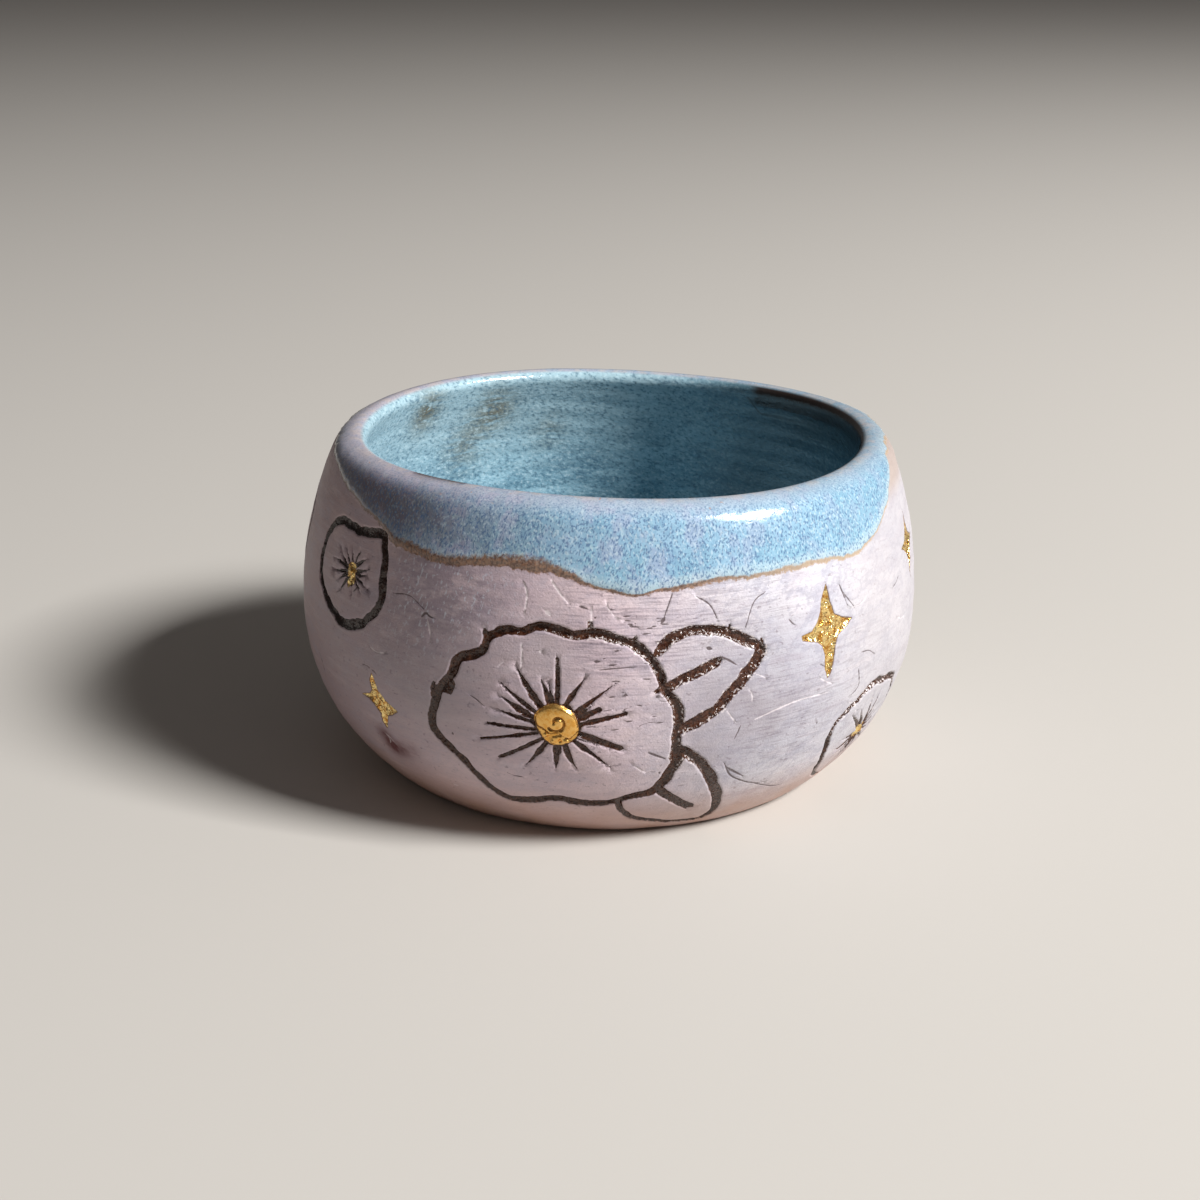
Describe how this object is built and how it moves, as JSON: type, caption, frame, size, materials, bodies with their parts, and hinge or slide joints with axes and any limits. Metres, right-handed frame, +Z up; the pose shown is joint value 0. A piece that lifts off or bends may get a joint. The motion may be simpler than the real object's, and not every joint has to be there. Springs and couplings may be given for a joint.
{
  "type": "stoneware cup with carved and gilded blossoms",
  "caption": "Low round handleless stoneware cup: blue glazed rim and inside, bare clay body with carved blossoms, leaves and gold filled stars.",
  "frame": {"origin": "middle of the flat underside", "axes": "+Z up to the mouth, -Y to the front with the large blossom, +X to the viewer's right"},
  "size_m": [0.1049, 0.105, 0.0565],
  "materials": {
    "stoneware": "satin pink grey clay, glossy speckled blue glaze on the rim and inside, dark carved lines, gold lustre in the stars and blossom hearts"
  },
  "bodies": {
    "root": {"cup": "stoneware"}
  },
  "joints": []
}
